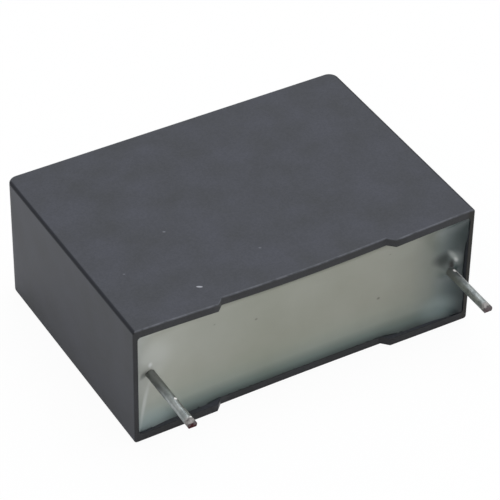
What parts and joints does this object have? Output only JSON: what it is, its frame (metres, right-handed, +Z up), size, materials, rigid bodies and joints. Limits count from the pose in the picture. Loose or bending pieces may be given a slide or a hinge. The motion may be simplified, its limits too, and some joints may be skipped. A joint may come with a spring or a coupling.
{
  "type": "box film capacitor",
  "caption": "Potted film capacitor: a flat rectangular moulded case with a stepped rim, open on one side, resin inside, and round wire leads out of the resin.",
  "frame": {"origin": "centre of the broad face of the case that it lies on", "axes": "+X along the case's length, +Y from the leads towards the closed end, +Z up through the thickness, out of the upper broad face"},
  "size_m": [0.0316, 0.028, 0.0116],
  "materials": {
    "case_plastic": "dark slate-grey moulded thermoplastic, fine matt grain",
    "potting_resin": "olive-grey casting resin, glossy, with a poured surface",
    "tinned_wire": "bright tin over copper wire, copper bare at the cut tips",
    "metallised_film": "plastic film with a vapour-deposited metal layer, silvery",
    "bare_film": "clear to milky plastic film",
    "sprayed_metal": "dull grey sprayed zinc and tin, grainy",
    "solder": "bright tin solder"
  },
  "bodies": {
    "root": {"case": "case_plastic", "resin_fill": "potting_resin", "lead_left": "tinned_wire", "lead_right": "tinned_wire", "film_winding": "metallised_film", "winding_wrap": "bare_film", "metal_spray_left": "sprayed_metal", "metal_spray_right": "sprayed_metal", "solder_left": "solder", "solder_right": "solder"}
  },
  "joints": []
}
